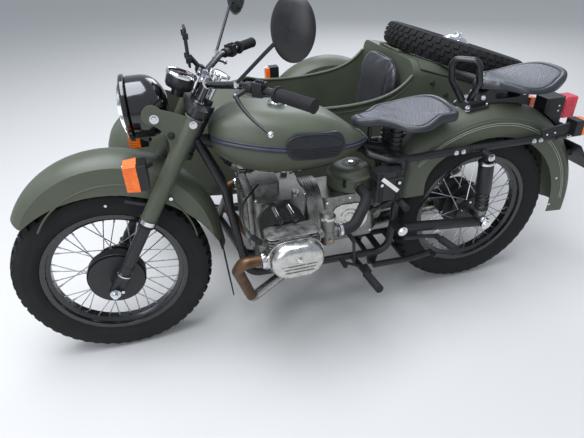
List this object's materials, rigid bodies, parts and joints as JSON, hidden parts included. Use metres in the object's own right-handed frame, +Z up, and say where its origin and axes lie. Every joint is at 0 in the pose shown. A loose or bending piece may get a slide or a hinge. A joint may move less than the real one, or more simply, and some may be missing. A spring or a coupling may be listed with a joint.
{
  "type": "sidecar motorcycle",
  "caption": "Heavy flat-twin motorcycle with a sidecar on its right: leading fork, sprung rubber saddles, open cockpit with a padded seat, lidded boot and spare wheel.",
  "frame": {"origin": "on the floor at the middle of the whole machine's bounding box", "axes": "+Z up, +Y towards the tail, so the machine heads towards -Y; +X is the rider's left, and the sidecar stands on the -X side"},
  "size_m": [1.6765, 2.3794, 1.2904],
  "materials": {
    "olive_paint": "matte olive green enamel",
    "black_paint": "gloss black enamel",
    "black_satin": "satin black enamel",
    "engine_alloy": "as-cast alloy",
    "chrome": "bright chrome plate",
    "steel_pipe": "heat-tinted chromed steel",
    "iron": "bare cast iron",
    "tyre": "black tyre rubber",
    "rubber": "black moulded rubber",
    "seat_rubber": "blue-black ribbed rubber",
    "leather_cloth": "black leather cloth",
    "board": "painted plywood",
    "lens_clear": "clear lens",
    "lens_orange": "orange lens",
    "lens_red": "red lens",
    "black_plastic": "black moulded plastic",
    "mirror": "mirror glass in a black shell",
    "blank_plate": "blank white plate"
  },
  "bodies": {
    "machine": {"frame": "black_satin", "engine_case": "engine_alloy", "barrels": "iron", "cylinder_heads": "engine_alloy", "rocker_covers": "engine_alloy", "carburettors": "engine_alloy", "air_filter": "olive_paint", "intake_elbows": "rubber", "exhaust": "steel_pipe", "fuel_tank": "olive_paint", "knee_pads": "rubber", "battery_box": "black_plastic", "rider_saddle": "seat_rubber", "rider_saddle_bracket": "black_satin", "pillion_saddle": "seat_rubber", "pillion_bracket": "black_satin", "rear_fender": "olive_paint", "tail_lamp": "black_plastic", "rear_signals": "lens_orange", "plate_holder": "blank_plate", "swing_arm": "black_satin", "rear_shocks": "black_satin", "foot_controls": "chrome", "kick_start": "chrome", "sidecar_body": "olive_paint", "sidecar_chassis": "black_satin", "seat_base": "board", "seat_cushion": "leather_cloth", "seat_back": "leather_cloth", "sidecar_arm": "black_satin", "sidecar_fender": "olive_paint", "grab_hoop": "rubber", "tail_lens": "lens_red", "sidecar_lamp": "lens_orange"},
    "steering": {"fork": "black_satin", "fork_shrouds": "olive_paint", "headlamp_shell": "black_paint", "headlamp_glass": "lens_clear", "speedometer": "black_plastic", "damper_knob": "chrome", "handlebar": "black_paint", "grips": "rubber", "levers": "black_satin", "mirrors": "mirror", "phone_holder": "black_plastic", "front_fender": "olive_paint", "mud_flap": "rubber", "front_signals": "lens_orange"},
    "front_wheel": {"front_tyre": "tyre", "front_wheel": "black_paint"},
    "rear_wheel": {"rear_tyre": "tyre", "rear_wheel": "black_paint"},
    "sidecar_wheel": {"sidecar_tyre": "tyre", "sidecar_wheel": "black_paint"},
    "boot_lid": {"boot_lid": "olive_paint", "spare_tyre": "tyre", "spare_wheel": "black_paint", "spare_clamp": "chrome"},
    "centre_stand": {"centre_stand": "black_satin"}
  },
  "joints": [
    {"name": "steering", "type": "hinge", "parent": "machine", "child": "steering", "pos_m": [0.382, -0.48983, 0.83958], "axis": [0, 0.515, 0.8572], "range_deg": [-35, 35]},
    {"name": "front_wheel_spin", "type": "hinge", "parent": "steering", "child": "front_wheel", "pos_m": [0.382, -0.84, 0.35], "axis": [1, 0, 0], "continuous": true},
    {"name": "rear_wheel_spin", "type": "hinge", "parent": "machine", "child": "rear_wheel", "pos_m": [0.382, 0.63, 0.35], "axis": [1, 0, 0], "continuous": true},
    {"name": "sidecar_wheel_spin", "type": "hinge", "parent": "machine", "child": "sidecar_wheel", "pos_m": [-0.758, 0.362, 0.35], "axis": [1, 0, 0], "continuous": true},
    {"name": "boot_lid_hinge", "type": "hinge", "parent": "machine", "child": "boot_lid", "pos_m": [-0.238, 0.513, 0.912], "axis": [1, 0, 0], "range_deg": [0, 55]},
    {"name": "centre_stand_pivot", "type": "hinge", "parent": "machine", "child": "centre_stand", "pos_m": [0.382, 0.157, 0.222], "axis": [1, 0, 0], "range_deg": [-60, 0]}
  ]
}
